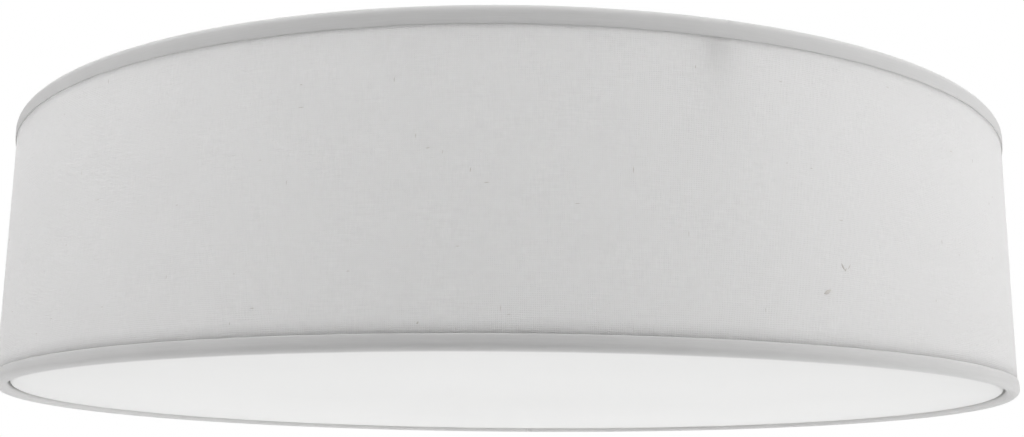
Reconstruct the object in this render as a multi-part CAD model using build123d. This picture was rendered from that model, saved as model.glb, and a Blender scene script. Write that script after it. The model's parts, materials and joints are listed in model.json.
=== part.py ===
from build123d import *
from build123d.topology import SkipClean

import os
from math import atan2, cos, degrees, pi, radians, sin, sqrt, tan

# Flush mount ceiling light: a fabric drum shade with an opal diffuser, carried close under the ceiling by
# a spider on a short threaded rod, with three lamps on their sides inside it.  Sizes are in millimetres.
# The origin is the middle of the ceiling bracket's top face, in the plane of the ceiling.  +Z points up
# into the ceiling, the light hangs below it, and the front is -Y.

# ---- clearances ----
body_gap = 0.3               # between faces of pieces that move apart
close_gap = 0.1              # round a piece that sits in a hole or on a curve
thread_gap = 0.05            # round a thread, on the radius
glue_film = 0.1              # between the glued layers of the shade

# ---- drum shade ----
shade_diameter = 600.0       # over the fabric cover
shade_height = 150.0         # over both hems
ceiling_gap = 6.0            # ceiling to the top hem
cover_thickness = 0.5
seam_lap = 12.0              # width of the cover's glued lap at the back
seam_angle = 90.0
liner_thickness = 0.6
ring_wire = 4.0              # wire diameter of both rings
hem_thickness = 0.8
hem_width = 7.5              # height of a hem on the outside
wrap_gap = 0.3               # hem tape to the wire that it goes round
hem_lengths_per_arm = 5      # equal lengths that each arm's share of a hem is drawn in

# ---- diffuser ----
diffuser_thickness = 2.0
diffuser_recess = 2.6        # edge of the pane above the lowest point of the hem
diffuser_sag = 1.5
diffuser_shoulder = 2.5      # outside radius where the pane turns up
diffuser_side_gap = 0.8      # pane to hem
diffuser_flange_gap = 0.5    # flange to liner

# ---- canopy pan, bracket and their screws ----
pan_diameter = 180.0
pan_depth = 24.0
pan_sheet = 1.0
pan_edge = 8.0               # outside radius between wall and floor
bracket_width = 25.0
bracket_sheet = 1.5
bracket_bend = 2.5           # outside radius of its bends
bracket_ear = 18.0           # height of the turned-down ears
bracket_pan_gap = 0.4        # corner of an ear to the pan's wall
slot_spacing = 70.0
slot_length = 15.0
slot_width = 5.0
cable_hole = 14.0            # diameter
canopy_screw_drop = 12.0     # ceiling to the side screws
canopy_screw_length = 10.0

# ---- screws and rivets: shank diameter, head diameter, head height ----
m4_screw = (4.0, 7.6, 2.6)
m3_screw = (3.0, 5.4, 2.0)
rivet = (3.0, 5.6, 1.0)

# ---- threaded rod, its nuts and the shade nut ----
rod_diameter = 10.0
rod_bore = 7.0
rod_stand = 1.0              # rod above the upper nut
hex_across = 17.0            # across the flats
hex_thickness = 5.0
rod_washer_diameter = 21.0
rod_washer_thickness = 1.5
shade_nut_diameter = 26.0
shade_nut_height = 10.0
shade_nut_flutes = 16
shade_nut_flute = 1.6        # radius of a flute
shade_nut_travel = 20.0      # thread below the tightened nut's top

# ---- spider ----
arm_count = 3
first_arm_angle = -72.5
arm_width = 12.0
arm_sheet = 1.5
arm_bend = 4.0               # radius along the middle of the strip
arm_root = 11.5              # inner end of an arm, from the axis
arm_overlap = 0.5            # end of an arm above the middle of the ring's wire
weld_gap = 0.05
hub_diameter = 52.0
hub_sheet = 2.0
arm_rivet_places = (16.0, 21.5)
hub_washer_diameter = 24.0
hub_washer_thickness = 1.5

# ---- lampholders ----
lamp_drop = 42.0             # pan to the lamps' axis
leg_reach = 48.0             # centre of the light to the holder bracket's leg
holder_strip = 26.0          # width of the holder bracket
holder_sheet = 1.5
holder_bend = 2.5
foot_length = 28.0
leg_below = 14.0             # leg below the lamps' axis
foot_rivet_places = (10.0, 20.0)
holder_length = 52.0
holder_diameter = 40.0
holder_nose_diameter = 37.0
holder_step = 20.0           # back of the holder to its narrower nose
holder_edge = 1.5
holder_cavity = 33.5         # depth from the front
shell_thickness = 0.6
shell_length = 23.0
shell_inset = 0.5            # shell behind the holder's front
holder_screw_spread = 8.0    # each side of the middle
holder_screw_drop = 7.0      # below the lamps' axis
holder_screw_length = 9.0
contact_width = 6.0
contact_sheet = 0.5
contact_foot = 8.0
contact_side = 5.0
contact_pad = 3.0

# ---- bulbs ----
bulb_diameter = 60.0
bulb_length = 108.0
cap_diameter = 26.2
cap_wall = 0.4
cap_length = 22.0
cap_gap = 0.4                # cap to screw shell, on the radius
contact_diameter = 9.0
contact_height = 1.0
insulator_height = 3.0
insulator_diameter = 22.8
insulator_rim = 1.5
mouth_gap = 0.5              # bulb's shoulder to the front of the holder
neck_diameter = 28.4
deck_height = 59.0           # bulb's tip to the globe's seat
housing_wall = 1.6
globe_wall = 1.5
plug_depth = 18.0            # housing inside the cap

# ---- wiring ----
lead_diameter = 2.4
lead_spread = 2.2            # live and neutral, each side of a grommet's middle
grommet_reach = 34.0
grommet_bore = 9.0
grommet_hole = 11.0
grommet_flange = 14.0
grommet_lip = 1.5            # thickness of a flange
terminal_reach = 45.0        # centre of the light to the terminal block
terminal_depth = 17.0
terminal_side = 1.5          # wall outside the outer clamps
terminal_height = 17.0
pole_pitch = 11.0
clamp_width = 6.0
clamp_height = 11.0
clamp_wall = 1.0
clamp_length = 13.0
clamp_screw_spread = 4.0     # each side of the block's middle
clamp_screw = 3.0            # diameter
clamp_screw_well = 4.4       # diameter
clamp_screw_sunk = 0.8
level_pitch = 3.0            # between the leads that share a clamp
clamp_level = 9.2            # pan's floor to the middle of the clamps
lead_turn_drop = 16.0        # underside of the pan to the leads' slow turn outwards
lead_entry_rise = 6.0        # leads' entry above the lamps' axis
lead_side = 7.5              # live and neutral, each side of the holder's middle
lead_sunk = 5.0              # lead inside the back of the holder
tag_thickness = 0.8
tag_ring = 9.0               # diameter
tag_barrel = 3.4             # diameter
tag_barrel_length = 7.0
tag_width = 4.0
tag_gap = 1.0                # crimp barrel to the tag's ring
earth_screw_length = 5.0
earth_bow_gap = 11.5         # earth lead's outermost bend to the edge of the pan's flat floor

# ---- places that follow from these ----
cover_r = shade_diameter / 2
liner_r = cover_r - cover_thickness - glue_film
liner_in_r = liner_r - liner_thickness
wire_r = ring_wire / 2
ring_r = liner_in_r - glue_film - wire_r
wrap_r = wire_r + wrap_gap
hem_out_r = cover_r + glue_film + hem_thickness
hem_in_r = ring_r - wrap_r - hem_thickness
roll_r = (hem_out_r - hem_in_r) / 2
roll_centre = (hem_out_r + hem_in_r) / 2
shade_top = -ceiling_gap
shade_bottom = shade_top - shade_height
top_ring_z = shade_top - roll_r
bottom_ring_z = shade_bottom + roll_r

pan_r = pan_diameter / 2
pan_in_r = pan_r - pan_sheet
pan_bottom = -pan_depth
pan_floor = pan_bottom + pan_sheet
ear_x = sqrt((pan_in_r - bracket_pan_gap) ** 2 - (bracket_width / 2) ** 2)

rod_r = rod_diameter / 2
upper_nut_z = pan_floor + rod_washer_thickness
rod_top = upper_nut_z + hex_thickness + rod_stand
hub_top = pan_bottom - hex_thickness - body_gap
hub_bottom = hub_top - hub_sheet
hub_washer_bottom = hub_bottom - hub_washer_thickness
shade_nut_top = hub_washer_bottom - body_gap
rod_bottom = shade_nut_top - shade_nut_travel

arm_step = 360 / arm_count
arm_angles = [first_arm_angle + arm_step * number for number in range(arm_count)]
hem_lengths = arm_count * hem_lengths_per_arm
hem_step = 360 / hem_lengths
holder_angles = [angle + arm_step / 2 for angle in arm_angles]
terminal_angle = arm_angles[1]

lamp_z = pan_bottom - lamp_drop
holder_reach = leg_reach + holder_sheet
cap_r = cap_diameter / 2
cap_base = contact_height + insulator_height
cap_top = cap_base + cap_length
bulb_seat = holder_length - cap_top
shell_in_r = cap_r + cap_gap
shell_r = shell_in_r + shell_thickness
cavity_floor = holder_length - holder_cavity
bulb_r = bulb_diameter / 2

lead_r = lead_diameter / 2
clamp_z = pan_floor + clamp_level
lead_levels = [clamp_z, clamp_z - level_pitch, clamp_z + level_pitch]
lead_entry_z = lamp_z + lead_entry_rise


# ---- helpers ----
def disc(radius, low, high):
    """Upright cylinder on the Z axis between two heights."""
    return Pos(0, 0, (low + high) / 2) * Cylinder(radius, high - low)


def ring(outer, inner, low, high):
    """Upright tube on the Z axis between two heights."""
    return disc(outer, low, high) - disc(inner, low, high)


def block(low, high):
    """Box between two opposite corners."""
    size = [b - a for a, b in zip(low, high)]
    middle = [(a + b) / 2 for a, b in zip(low, high)]
    return Pos(*middle) * Box(*size)


def turned(*edges, arc=360):
    """Solid of revolution about Z of a closed outline in (radius, height), over an arc from +X."""
    return revolve(Plane.XZ * make_face(list(edges)), axis=Axis.Z, revolution_arc=arc)


def turned_polygon(*points):
    """Solid of revolution about Z of a polygon in (radius, height)."""
    return turned(*Polyline(*points, close=True).edges())


def bent_strip(points, thickness, width, bend):
    """Strip bent in the XZ plane along the middle line through the points, as wide as given along Y."""
    line = FilletPolyline(*points, radius=bend)
    return extrude(Plane.XZ * trace(line, thickness), amount=width / 2, both=True)


def around(angle):
    """Turn about the light's axis."""
    return Rot(0, 0, angle)


def across(radius, spot, span):
    """Hole cutter along X through a spot, reaching the given span each way."""
    return Pos(*spot) * Rot(0, 90, 0) * Cylinder(radius, 2 * span)


def down(radius, spot, span):
    """Hole cutter along Z through a spot, reaching the given span each way."""
    return Pos(*spot) * Cylinder(radius, 2 * span)


def cross_head_screw(kind, length):
    """Screw along Z: its head stands on the plane Z = 0 and its shank hangs below it."""
    shank, head, height = kind
    recess = 0.55 * height
    wing = 0.55 * head
    blade = 0.12 * head
    body = disc(head / 2, 0, height)
    body = fillet(body.edges().group_by(Axis.Z)[-1], 0.4 * height)
    body -= Pos(0, 0, height) * Box(wing, blade, 2 * recess)
    body -= Pos(0, 0, height) * Box(blade, wing, 2 * recess)
    return body + disc(shank / 2, -length, 0)


def rivet_through(low, high):
    """Rivet along Z that clamps what lies between two heights."""
    shank, head, height = rivet
    return (disc(shank / 2, low, high) + disc(head / 2, low - height, low)
            + disc(head / 2, high, high + height))


def hex_nut(low):
    """Thin hexagon nut for the rod, standing on the given height."""
    hexagon = RegularPolygon(hex_across / 2, 6, major_radius=False)
    body = Pos(0, 0, low) * extrude(hexagon, amount=hex_thickness)
    return body - disc(rod_r + thread_gap, low, low + hex_thickness)


# ---- shade: frame ----
def wire_ring(height):
    return Pos(0, 0, height) * Torus(ring_r, wire_r)


def spider_hub():
    plate = ring(hub_diameter / 2, rod_r + body_gap, hub_bottom, hub_top)
    for angle in arm_angles:
        for place in arm_rivet_places:
            plate -= around(angle) * down(rivet[0] / 2 + thread_gap, (place, 0, hub_top), hub_sheet * 2)
    return plate


def spider_arm(angle):
    """Flat arm from the hub to the wall, turned up there and welded to the inside of the top ring."""
    middle = hub_top + arm_sheet / 2
    wall = ring_r - wire_r - weld_gap - arm_sheet / 2
    points = [(arm_root, middle), (wall, middle), (wall, top_ring_z + arm_overlap)]
    arm = bent_strip(points, arm_sheet, arm_width, arm_bend)
    for place in arm_rivet_places:
        arm -= down(rivet[0] / 2 + thread_gap, (place, 0, middle), arm_sheet)
    return around(angle) * arm


def arm_rivets():
    clamp = rivet_through(hub_bottom, hub_top + arm_sheet)
    return [around(angle) * Pos(place, 0, 0) * clamp for angle in arm_angles for place in arm_rivet_places]


def hub_washer():
    return ring(hub_washer_diameter / 2, rod_r + body_gap, hub_washer_bottom, hub_bottom)


def shade_nut():
    """Fluted nut under the hub, on the rod's thread."""
    low = shade_nut_top - shade_nut_height
    body = disc(shade_nut_diameter / 2, low, shade_nut_top)
    body = chamfer(body.edges(), 0.8)
    for number in range(shade_nut_flutes):
        spot = (shade_nut_diameter / 2 + 0.4 * shade_nut_flute, 0, low)
        body -= around(360 / shade_nut_flutes * number) * down(shade_nut_flute, spot, 2 * shade_nut_height)
    return body - disc(rod_r + close_gap, low, shade_nut_top)


# ---- shade: skin ----
def hem_length(ring_z, side):
    """One of the equal lengths of the tape that goes outside the cover's edge, over the ring and round it,
    with its middle on the +X side; side is 1 up, -1 down."""
    edge = ring_z + side * (roll_r - hem_width)
    tuck_r = wrap_r + hem_thickness
    slant = sin(radians(45))
    inner_roll = roll_r - hem_thickness
    return around(-hem_step / 2) * turned(
        Line((hem_out_r, edge), (hem_out_r, ring_z)),
        ThreePointArc((hem_out_r, ring_z), (roll_centre, ring_z + side * roll_r), (hem_in_r, ring_z)),
        ThreePointArc((hem_in_r, ring_z), (ring_r - tuck_r * slant, ring_z - side * tuck_r * slant),
                      (ring_r, ring_z - side * tuck_r)),
        Line((ring_r, ring_z - side * tuck_r), (ring_r, ring_z - side * wrap_r)),
        ThreePointArc((ring_r, ring_z - side * wrap_r),
                      (ring_r - wrap_r * slant, ring_z - side * wrap_r * slant), (ring_r - wrap_r, ring_z)),
        ThreePointArc((ring_r - wrap_r, ring_z), (roll_centre, ring_z + side * inner_roll),
                      (hem_out_r - hem_thickness, ring_z)),
        Line((hem_out_r - hem_thickness, ring_z), (hem_out_r - hem_thickness, edge)),
        Line((hem_out_r - hem_thickness, edge), (hem_out_r, edge)),
        arc=hem_step,
    )


def hem_round(at_arm, between):
    """The whole hem, joined end to end from its lengths and kept in as many faces."""
    tape = around(arm_angles[0]) * at_arm
    with SkipClean():
        for number in range(1, hem_lengths):
            length = between if number % hem_lengths_per_arm else at_arm
            tape += around(arm_angles[0] + hem_step * number) * length
    return tape


def top_trim():
    """The top hem, notched where the arms reach the ring."""
    half = arm_width / 2 + body_gap
    low = (hem_in_r - arm_sheet - arm_bend, -half, top_ring_z - ring_wire)
    high = (ring_r - wire_r + weld_gap, half, top_ring_z + arm_overlap + body_gap)
    length = hem_length(top_ring_z, 1)
    return hem_round(length - block(low, high), length)


def bottom_trim():
    length = hem_length(bottom_ring_z, -1)
    return hem_round(length, length)


def shade_liner():
    return ring(liner_r, liner_in_r, bottom_ring_z, top_ring_z)


def shade_cover():
    """Fabric round the liner, with a lap where its two ends are glued at the back."""
    inner = cover_r - cover_thickness
    half = degrees(seam_lap / 2 / cover_r)
    low = shade_bottom + hem_width + glue_film
    high = shade_top - hem_width - glue_film
    lap = ring(cover_r + cover_thickness, inner, low, high)
    reach = cover_r * 1.1
    wedge = Polyline((0, 0), (reach * cos(radians(half)), -reach * sin(radians(half))),
                     (reach * cos(radians(half)), reach * sin(radians(half))), close=True)
    lap &= around(seam_angle) * Pos(0, 0, low) * extrude(make_face(wedge.edges()), amount=high - low)
    return ring(cover_r, inner, bottom_ring_z, top_ring_z) + lap


def diffuser():
    """Opal dish: its flange rests on the bottom hem, and its pane hangs through the ring."""
    flange_low = bottom_ring_z + wrap_r + hem_thickness + body_gap
    flange_r = liner_in_r - diffuser_flange_gap
    dish_r = hem_in_r - diffuser_side_gap
    pane = shade_bottom + diffuser_recess
    turn_r = dish_r - diffuser_shoulder
    turn_z = pane + diffuser_shoulder
    inner = diffuser_shoulder - diffuser_thickness
    slant = sin(radians(45))
    corner = (turn_r + diffuser_shoulder * slant, turn_z - diffuser_shoulder * slant)
    inner_corner = (turn_r + inner * slant, turn_z - inner * slant)
    sag_r = (turn_r ** 2 + diffuser_sag ** 2) / (2 * diffuser_sag)
    half = turn_r / 2
    half_drop = diffuser_sag - (sag_r - sqrt(sag_r ** 2 - half ** 2))
    top = diffuser_thickness
    return turned(
        ThreePointArc((0, pane - diffuser_sag), (half, pane - half_drop), (turn_r, pane)),
        ThreePointArc((turn_r, pane), corner, (dish_r, turn_z)),
        Line((dish_r, turn_z), (dish_r, flange_low)),
        Line((dish_r, flange_low), (flange_r, flange_low)),
        Line((flange_r, flange_low), (flange_r, flange_low + top)),
        Line((flange_r, flange_low + top), (dish_r - top, flange_low + top)),
        Line((dish_r - top, flange_low + top), (dish_r - top, turn_z)),
        ThreePointArc((dish_r - top, turn_z), inner_corner, (turn_r, pane + top)),
        ThreePointArc((turn_r, pane + top), (half, pane + top - half_drop), (0, pane + top - diffuser_sag)),
        Line((0, pane + top - diffuser_sag), (0, pane - diffuser_sag)),
    )


# ---- fixture: bracket, pan and rod ----
def ceiling_bracket():
    """Crossbar with two slots, a cable hole and turned-down ears tapped for the pan's side screws."""
    x = ear_x - bracket_sheet / 2
    top = -bracket_sheet / 2
    points = [(-x, -bracket_ear), (-x, top), (x, top), (x, -bracket_ear)]
    bar = bent_strip(points, bracket_sheet, bracket_width, bracket_bend - bracket_sheet / 2)
    bar -= down(cable_hole / 2, (0, 0, top), bracket_sheet)
    for side in (-1, 1):
        slot = extrude(SlotOverall(slot_length, slot_width), amount=bracket_sheet, both=True)
        bar -= Pos(side * slot_spacing / 2, 0, top) * slot
        bar -= across(m4_screw[0] / 2 + thread_gap, (side * x, 0, -canopy_screw_drop), bracket_sheet)
    return bar


def canopy_pan():
    """Round steel pan, open towards the ceiling, with all its holes."""
    turn = pan_r - pan_edge
    slant = sin(radians(45))
    inner = pan_edge - pan_sheet
    hole = rod_r + close_gap
    middle = pan_bottom + pan_edge
    corner = (turn + pan_edge * slant, middle - pan_edge * slant)
    inner_corner = (turn + inner * slant, middle - inner * slant)
    pan = turned(
        Line((pan_r, 0), (pan_r, middle)),
        ThreePointArc((pan_r, middle), corner, (turn, pan_bottom)),
        Line((turn, pan_bottom), (hole, pan_bottom)),
        Line((hole, pan_bottom), (hole, pan_floor)),
        Line((hole, pan_floor), (turn, pan_floor)),
        ThreePointArc((turn, pan_floor), inner_corner, (pan_in_r, middle)),
        Line((pan_in_r, middle), (pan_in_r, 0)),
        Line((pan_in_r, 0), (pan_r, 0)),
    )
    for angle in (0, 180):
        side_spot = (pan_r, 0, -canopy_screw_drop)
        pan -= around(angle) * across(m4_screw[0] / 2 + close_gap, side_spot, pan_sheet * 2)
    for angle in holder_angles:
        pan -= around(angle) * down(grommet_hole / 2, (grommet_reach, 0, pan_floor), pan_sheet * 2)
        for place in foot_rivet_places:
            spot = (holder_reach + place, 0, pan_floor)
            pan -= around(angle) * down(rivet[0] / 2 + thread_gap, spot, pan_sheet * 2)
    for shank, spot in ((m3_screw[0], terminal_screw_spot), (m4_screw[0], earth_spot)):
        pan -= around(terminal_angle) * down(shank / 2 + thread_gap, (*spot, pan_floor), pan_sheet * 2)
    return pan


def canopy_screws():
    screw = Rot(0, 90, 0) * cross_head_screw(m4_screw, canopy_screw_length)
    return [around(angle) * Pos(pan_r, 0, -canopy_screw_drop) * screw for angle in (0, 180)]


def centre_rod():
    rod = ring(rod_r, rod_bore / 2, rod_bottom, rod_top)
    return chamfer(rod.edges().filter_by(GeomType.CIRCLE).sort_by(SortBy.RADIUS)[-2:], 0.5)


def rod_nuts():
    return [hex_nut(upper_nut_z), hex_nut(pan_bottom - hex_thickness)]


def rod_washer():
    return ring(rod_washer_diameter / 2, rod_r + close_gap, pan_floor, upper_nut_z)


# ---- fixture: lampholders, in a frame whose Z axis runs out along the lamp from the holder's back ----
def holder_place(angle):
    return around(angle) * Pos(holder_reach, 0, lamp_z) * Rot(0, 90, 0)


def holder_bracket(angle):
    """Angle bracket: its foot is riveted under the pan, and its leg carries the holder's back."""
    foot_z = pan_bottom - holder_sheet / 2
    leg_x = leg_reach + holder_sheet / 2
    points = [(holder_reach + foot_length, foot_z), (leg_x, foot_z), (leg_x, lamp_z - leg_below)]
    angle_bar = bent_strip(points, holder_sheet, holder_strip, holder_bend - holder_sheet / 2)
    for place in foot_rivet_places:
        spot = (holder_reach + place, 0, foot_z)
        angle_bar -= down(rivet[0] / 2 + thread_gap, spot, holder_sheet)
    for side in (-1, 1):
        lead_spot = (leg_x, side * lead_side, lead_entry_z)
        angle_bar -= across(lead_r + 1, lead_spot, holder_sheet)
        screw_spot = (leg_x, side * holder_screw_spread, lamp_z - holder_screw_drop)
        angle_bar -= across(m3_screw[0] / 2 + close_gap, screw_spot, holder_sheet)
    return around(angle) * angle_bar


def holder_rivets():
    clamp = rivet_through(pan_bottom - holder_sheet, pan_floor)
    return [around(angle) * Pos(holder_reach + place, 0, 0) * clamp
            for angle in holder_angles for place in foot_rivet_places]


def holder_screws():
    screw = Rot(0, -90, 0) * cross_head_screw(m3_screw, holder_screw_length)
    return [around(angle) * Pos(leg_reach, side * holder_screw_spread, lamp_z - holder_screw_drop) * screw
            for angle in holder_angles for side in (-1, 1)]


def holder_body(angle):
    """Moulded holder: wider at the back, with a deep mouth for the screw shell and the bulb's cap."""
    body = disc(holder_diameter / 2, 0, holder_step)
    body += disc(holder_nose_diameter / 2, holder_step, holder_length)
    ends = body.edges().filter_by(GeomType.CIRCLE)
    body = fillet(ends.group_by(Axis.Z)[0] + ends.group_by(Axis.Z)[-1], holder_edge)
    body -= disc(shell_r + close_gap, cavity_floor, holder_length)
    for side in (-1, 1):
        lead_hole = Cylinder(lead_r + close_gap, 2 * (lead_sunk + close_gap))
        body -= Pos(-lead_entry_rise, side * lead_side, 0) * lead_hole
        screw_hole = Cylinder(m3_screw[0] / 2 + thread_gap, 2 * holder_screw_length)
        body -= Pos(holder_screw_drop, side * holder_screw_spread, 0) * screw_hole
    return holder_place(angle) * body


def holder_shell(angle):
    high = holder_length - shell_inset
    return holder_place(angle) * ring(shell_r, shell_in_r, high - shell_length, high)


def holder_contact(angle):
    """Sprung centre contact, folded like a C, that the bulb's tip nearly touches."""
    low = cavity_floor + contact_sheet / 2
    high = bulb_seat - body_gap - contact_sheet / 2
    points = [(-contact_foot, low), (contact_side, low), (contact_side, high), (-contact_pad, high)]
    return holder_place(angle) * bent_strip(points, contact_sheet, contact_width, 2.0)


# ---- bulbs, in the lamp's frame with the tip of the contact at the origin ----
def bulb_place(angle):
    return holder_place(angle) * Pos(0, 0, bulb_seat)


def bulb_contact(angle):
    tip = disc(contact_diameter / 2, 0, contact_height)
    return bulb_place(angle) * chamfer(tip.edges().group_by(Axis.Z)[0], 0.5)


def bulb_insulator(angle):
    half = insulator_diameter / 2 - close_gap
    return bulb_place(angle) * turned_polygon(
        (0, contact_height), (contact_diameter / 2 + 1, contact_height), (half, cap_base),
        (half, cap_base + insulator_rim), (0, cap_base + insulator_rim))


def bulb_cap(angle):
    lip = insulator_diameter / 2
    return bulb_place(angle) * turned_polygon(
        (lip, cap_base), (cap_r - cap_wall, cap_base), (cap_r, cap_base + cap_wall), (cap_r, cap_top),
        (cap_r - cap_wall, cap_top), (cap_r - cap_wall, cap_base + 2 * cap_wall),
        (lip, cap_base + 2 * cap_wall))


def bulb_housing(angle):
    """Hollow neck that flares from the cap to the deck under the globe."""
    deck_r = sqrt(bulb_r ** 2 - (bulb_length - bulb_r - deck_height) ** 2)
    plug_r = cap_r - cap_wall - close_gap
    neck_r = neck_diameter / 2
    shoulder = cap_top + mouth_gap
    flare_z = (shoulder + deck_height) / 2
    flare_r = neck_r + 0.38 * (deck_r - neck_r)
    wall = housing_wall
    return bulb_place(angle) * turned(
        Line((0, cap_top - plug_depth), (plug_r, cap_top - plug_depth)),
        Line((plug_r, cap_top - plug_depth), (plug_r, shoulder)),
        Line((plug_r, shoulder), (neck_r, shoulder)),
        ThreePointArc((neck_r, shoulder), (flare_r, flare_z), (deck_r, deck_height)),
        Line((deck_r, deck_height), (0, deck_height)),
        Line((0, deck_height), (0, deck_height - wall)),
        Line((0, deck_height - wall), (deck_r - 1.5 * wall, deck_height - wall)),
        ThreePointArc((deck_r - 1.5 * wall, deck_height - wall), (flare_r - wall, flare_z),
                      (plug_r - wall, shoulder)),
        Line((plug_r - wall, shoulder), (plug_r - wall, cap_top - plug_depth + wall)),
        Line((plug_r - wall, cap_top - plug_depth + wall), (0, cap_top - plug_depth + wall)),
        Line((0, cap_top - plug_depth + wall), (0, cap_top - plug_depth)),
    )


def bulb_globe(angle):
    """Opal dome whose open rim sits on the housing's deck."""
    centre = bulb_length - bulb_r
    dome = Pos(0, 0, centre) * (Sphere(bulb_r) - Sphere(bulb_r - globe_wall))
    return bulb_place(angle) * (dome & disc(bulb_diameter, deck_height, bulb_length + globe_wall))


# ---- wiring; in plan, X runs from the light's axis through the terminal block and Y to its left ----
clamp_u = terminal_reach - clamp_screw_spread
terminal_screw_spot = (terminal_reach, pole_pitch / 2)
terminal_screw_seat = clamp_z + clamp_height / 2 + close_gap
earth_bow = pan_r - pan_edge - earth_bow_gap
earth_route = [(terminal_reach + 3, 0, clamp_z + level_pitch), (earth_bow - 7.5, 1, clamp_z + 1.3),
               (earth_bow, 13, pan_floor + 2.4), (earth_bow - 4.5, 27, pan_floor + 2.4)]
earth_heading = atan2(earth_route[3][1] - earth_route[2][1], earth_route[3][0] - earth_route[2][0])
tag_reach = tag_barrel_length / 2 + tag_gap + tag_ring / 2
earth_spot = (earth_route[3][0] + tag_reach * cos(earth_heading),
              earth_route[3][1] + tag_reach * sin(earth_heading))


def terminal_block():
    """Three-pole block on the pan's floor, with a clamp well along each pole and a fixing hole."""
    half_u = terminal_depth / 2
    half_v = pole_pitch + clamp_width / 2 + terminal_side
    top = pan_floor + terminal_height
    body = block((terminal_reach - half_u, -half_v, pan_floor), (terminal_reach + half_u, half_v, top))
    body = chamfer(body.edges().group_by(Axis.Z)[-1], 0.8)
    well_half = clamp_width / 2 + close_gap
    well_height = clamp_height / 2 + close_gap
    for pole in (-pole_pitch, 0, pole_pitch):
        body -= block((terminal_reach - terminal_depth, pole - well_half, clamp_z - well_height),
                      (terminal_reach + terminal_depth, pole + well_half, clamp_z + well_height))
        for side in (-1, 1):
            body -= down(clamp_screw_well / 2, (terminal_reach + side * clamp_screw_spread, pole, top),
                         top - clamp_z)
    body -= down(m3_screw[0] / 2 + close_gap, (*terminal_screw_spot, pan_floor), 2 * terminal_height)
    body -= down(m3_screw[1] / 2 + close_gap, (*terminal_screw_spot, top), top - terminal_screw_seat)
    return around(terminal_angle) * body


def terminal_clamps():
    """Square brass tubes, one in each pole, tapped for two screws."""
    clamps = []
    for pole in (-pole_pitch, 0, pole_pitch):
        tube = Box(clamp_length, clamp_width, clamp_height)
        tube -= Box(2 * clamp_length, clamp_width - 2 * clamp_wall, clamp_height - 2 * clamp_wall)
        for side in (-1, 1):
            tap = (side * clamp_screw_spread, 0, clamp_height / 2)
            tube -= down(clamp_screw / 2 + thread_gap, tap, 2 * clamp_wall)
        clamps.append(around(terminal_angle) * Pos(terminal_reach, pole, clamp_z) * tube)
    return clamps


def terminal_screws():
    """Slotted grub screws above the leads in each clamp."""
    high = pan_floor + terminal_height - clamp_screw_sunk
    low = clamp_z + level_pitch + lead_r + 2 * close_gap
    grub = disc(clamp_screw / 2, low, high) - Pos(0, 0, high) * Box(2 * clamp_screw, 0.6, 1.2)
    return [around(terminal_angle) * Pos(terminal_reach + side * clamp_screw_spread, pole, 0) * grub
            for pole in (-pole_pitch, 0, pole_pitch) for side in (-1, 1)]


def terminal_fixing_screw():
    length = terminal_screw_seat - pan_bottom + 1
    screw = cross_head_screw(m3_screw, length)
    return around(terminal_angle) * Pos(*terminal_screw_spot, terminal_screw_seat) * screw


def earth_screw():
    screw = cross_head_screw(m4_screw, earth_screw_length)
    return around(terminal_angle) * Pos(*earth_spot, pan_floor + tag_thickness) * screw


def earth_tag():
    """Crimped ring tag between the earth lead and the earth screw."""
    level = earth_route[3][2] - pan_floor
    tag = disc(tag_ring / 2, 0, tag_thickness)
    tag += block((-tag_reach - tag_barrel_length / 2, -tag_width / 2, 0), (0, tag_width / 2, tag_thickness))
    tag -= disc(m4_screw[0] / 2 + close_gap, -1, 1 + tag_thickness)
    barrel = across(tag_barrel / 2, (-tag_reach, 0, level), tag_barrel_length / 2)
    tag += barrel + block((-tag_reach - tag_barrel_length / 2, -tag_barrel / 4, 0),
                          (-tag_reach + tag_barrel_length / 2, tag_barrel / 4, level))
    tag -= across(lead_r + thread_gap, (-tag_reach, 0, level), tag_barrel_length)
    spot = Pos(*earth_spot, pan_floor) * Rot(0, 0, degrees(earth_heading))
    return around(terminal_angle) * spot * tag


def lead_grommets():
    """Rubber grommets with a groove for the edge of the pan's holes."""
    low, high = pan_bottom - grommet_lip, pan_floor + grommet_lip
    body = ring(grommet_flange / 2, grommet_bore / 2, low, high)
    body -= ring(grommet_flange, grommet_hole / 2 - close_gap, pan_bottom, pan_floor)
    return [around(angle) * Pos(grommet_reach, 0, 0) * body for angle in holder_angles]


def lead_tube(name, points):
    """Round lead along straight runs joined by tangent arcs; its radii and volume are printed."""
    radii = []
    for before, corner, after in zip(points, points[1:], points[2:]):
        run_in = Vector(*corner) - Vector(*before)
        run_out = Vector(*after) - Vector(*corner)
        shorter = min(run_in.length, run_out.length)
        radii.append(0.45 * shorter / tan(radians(run_in.get_angle(run_out)) / 2))
    path = FilletPolyline(*points, radius=radii)
    tube = sweep(Plane(origin=path @ 0, z_dir=path % 0) * Circle(lead_r), path=path)
    expected = pi * lead_r ** 2 * path.length
    print(name, "radii", [round(radius, 1) for radius in radii], "length", round(path.length, 1),
          "volume", round(tube.volume / expected, 4), "of section times length")
    return tube


def plan_point(angle, reach, side, height):
    """Point given by its reach along an angle and its distance to the left, seen from above."""
    turn = radians(angle)
    return (reach * cos(turn) - side * sin(turn), reach * sin(turn) + side * cos(turn), height)


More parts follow.
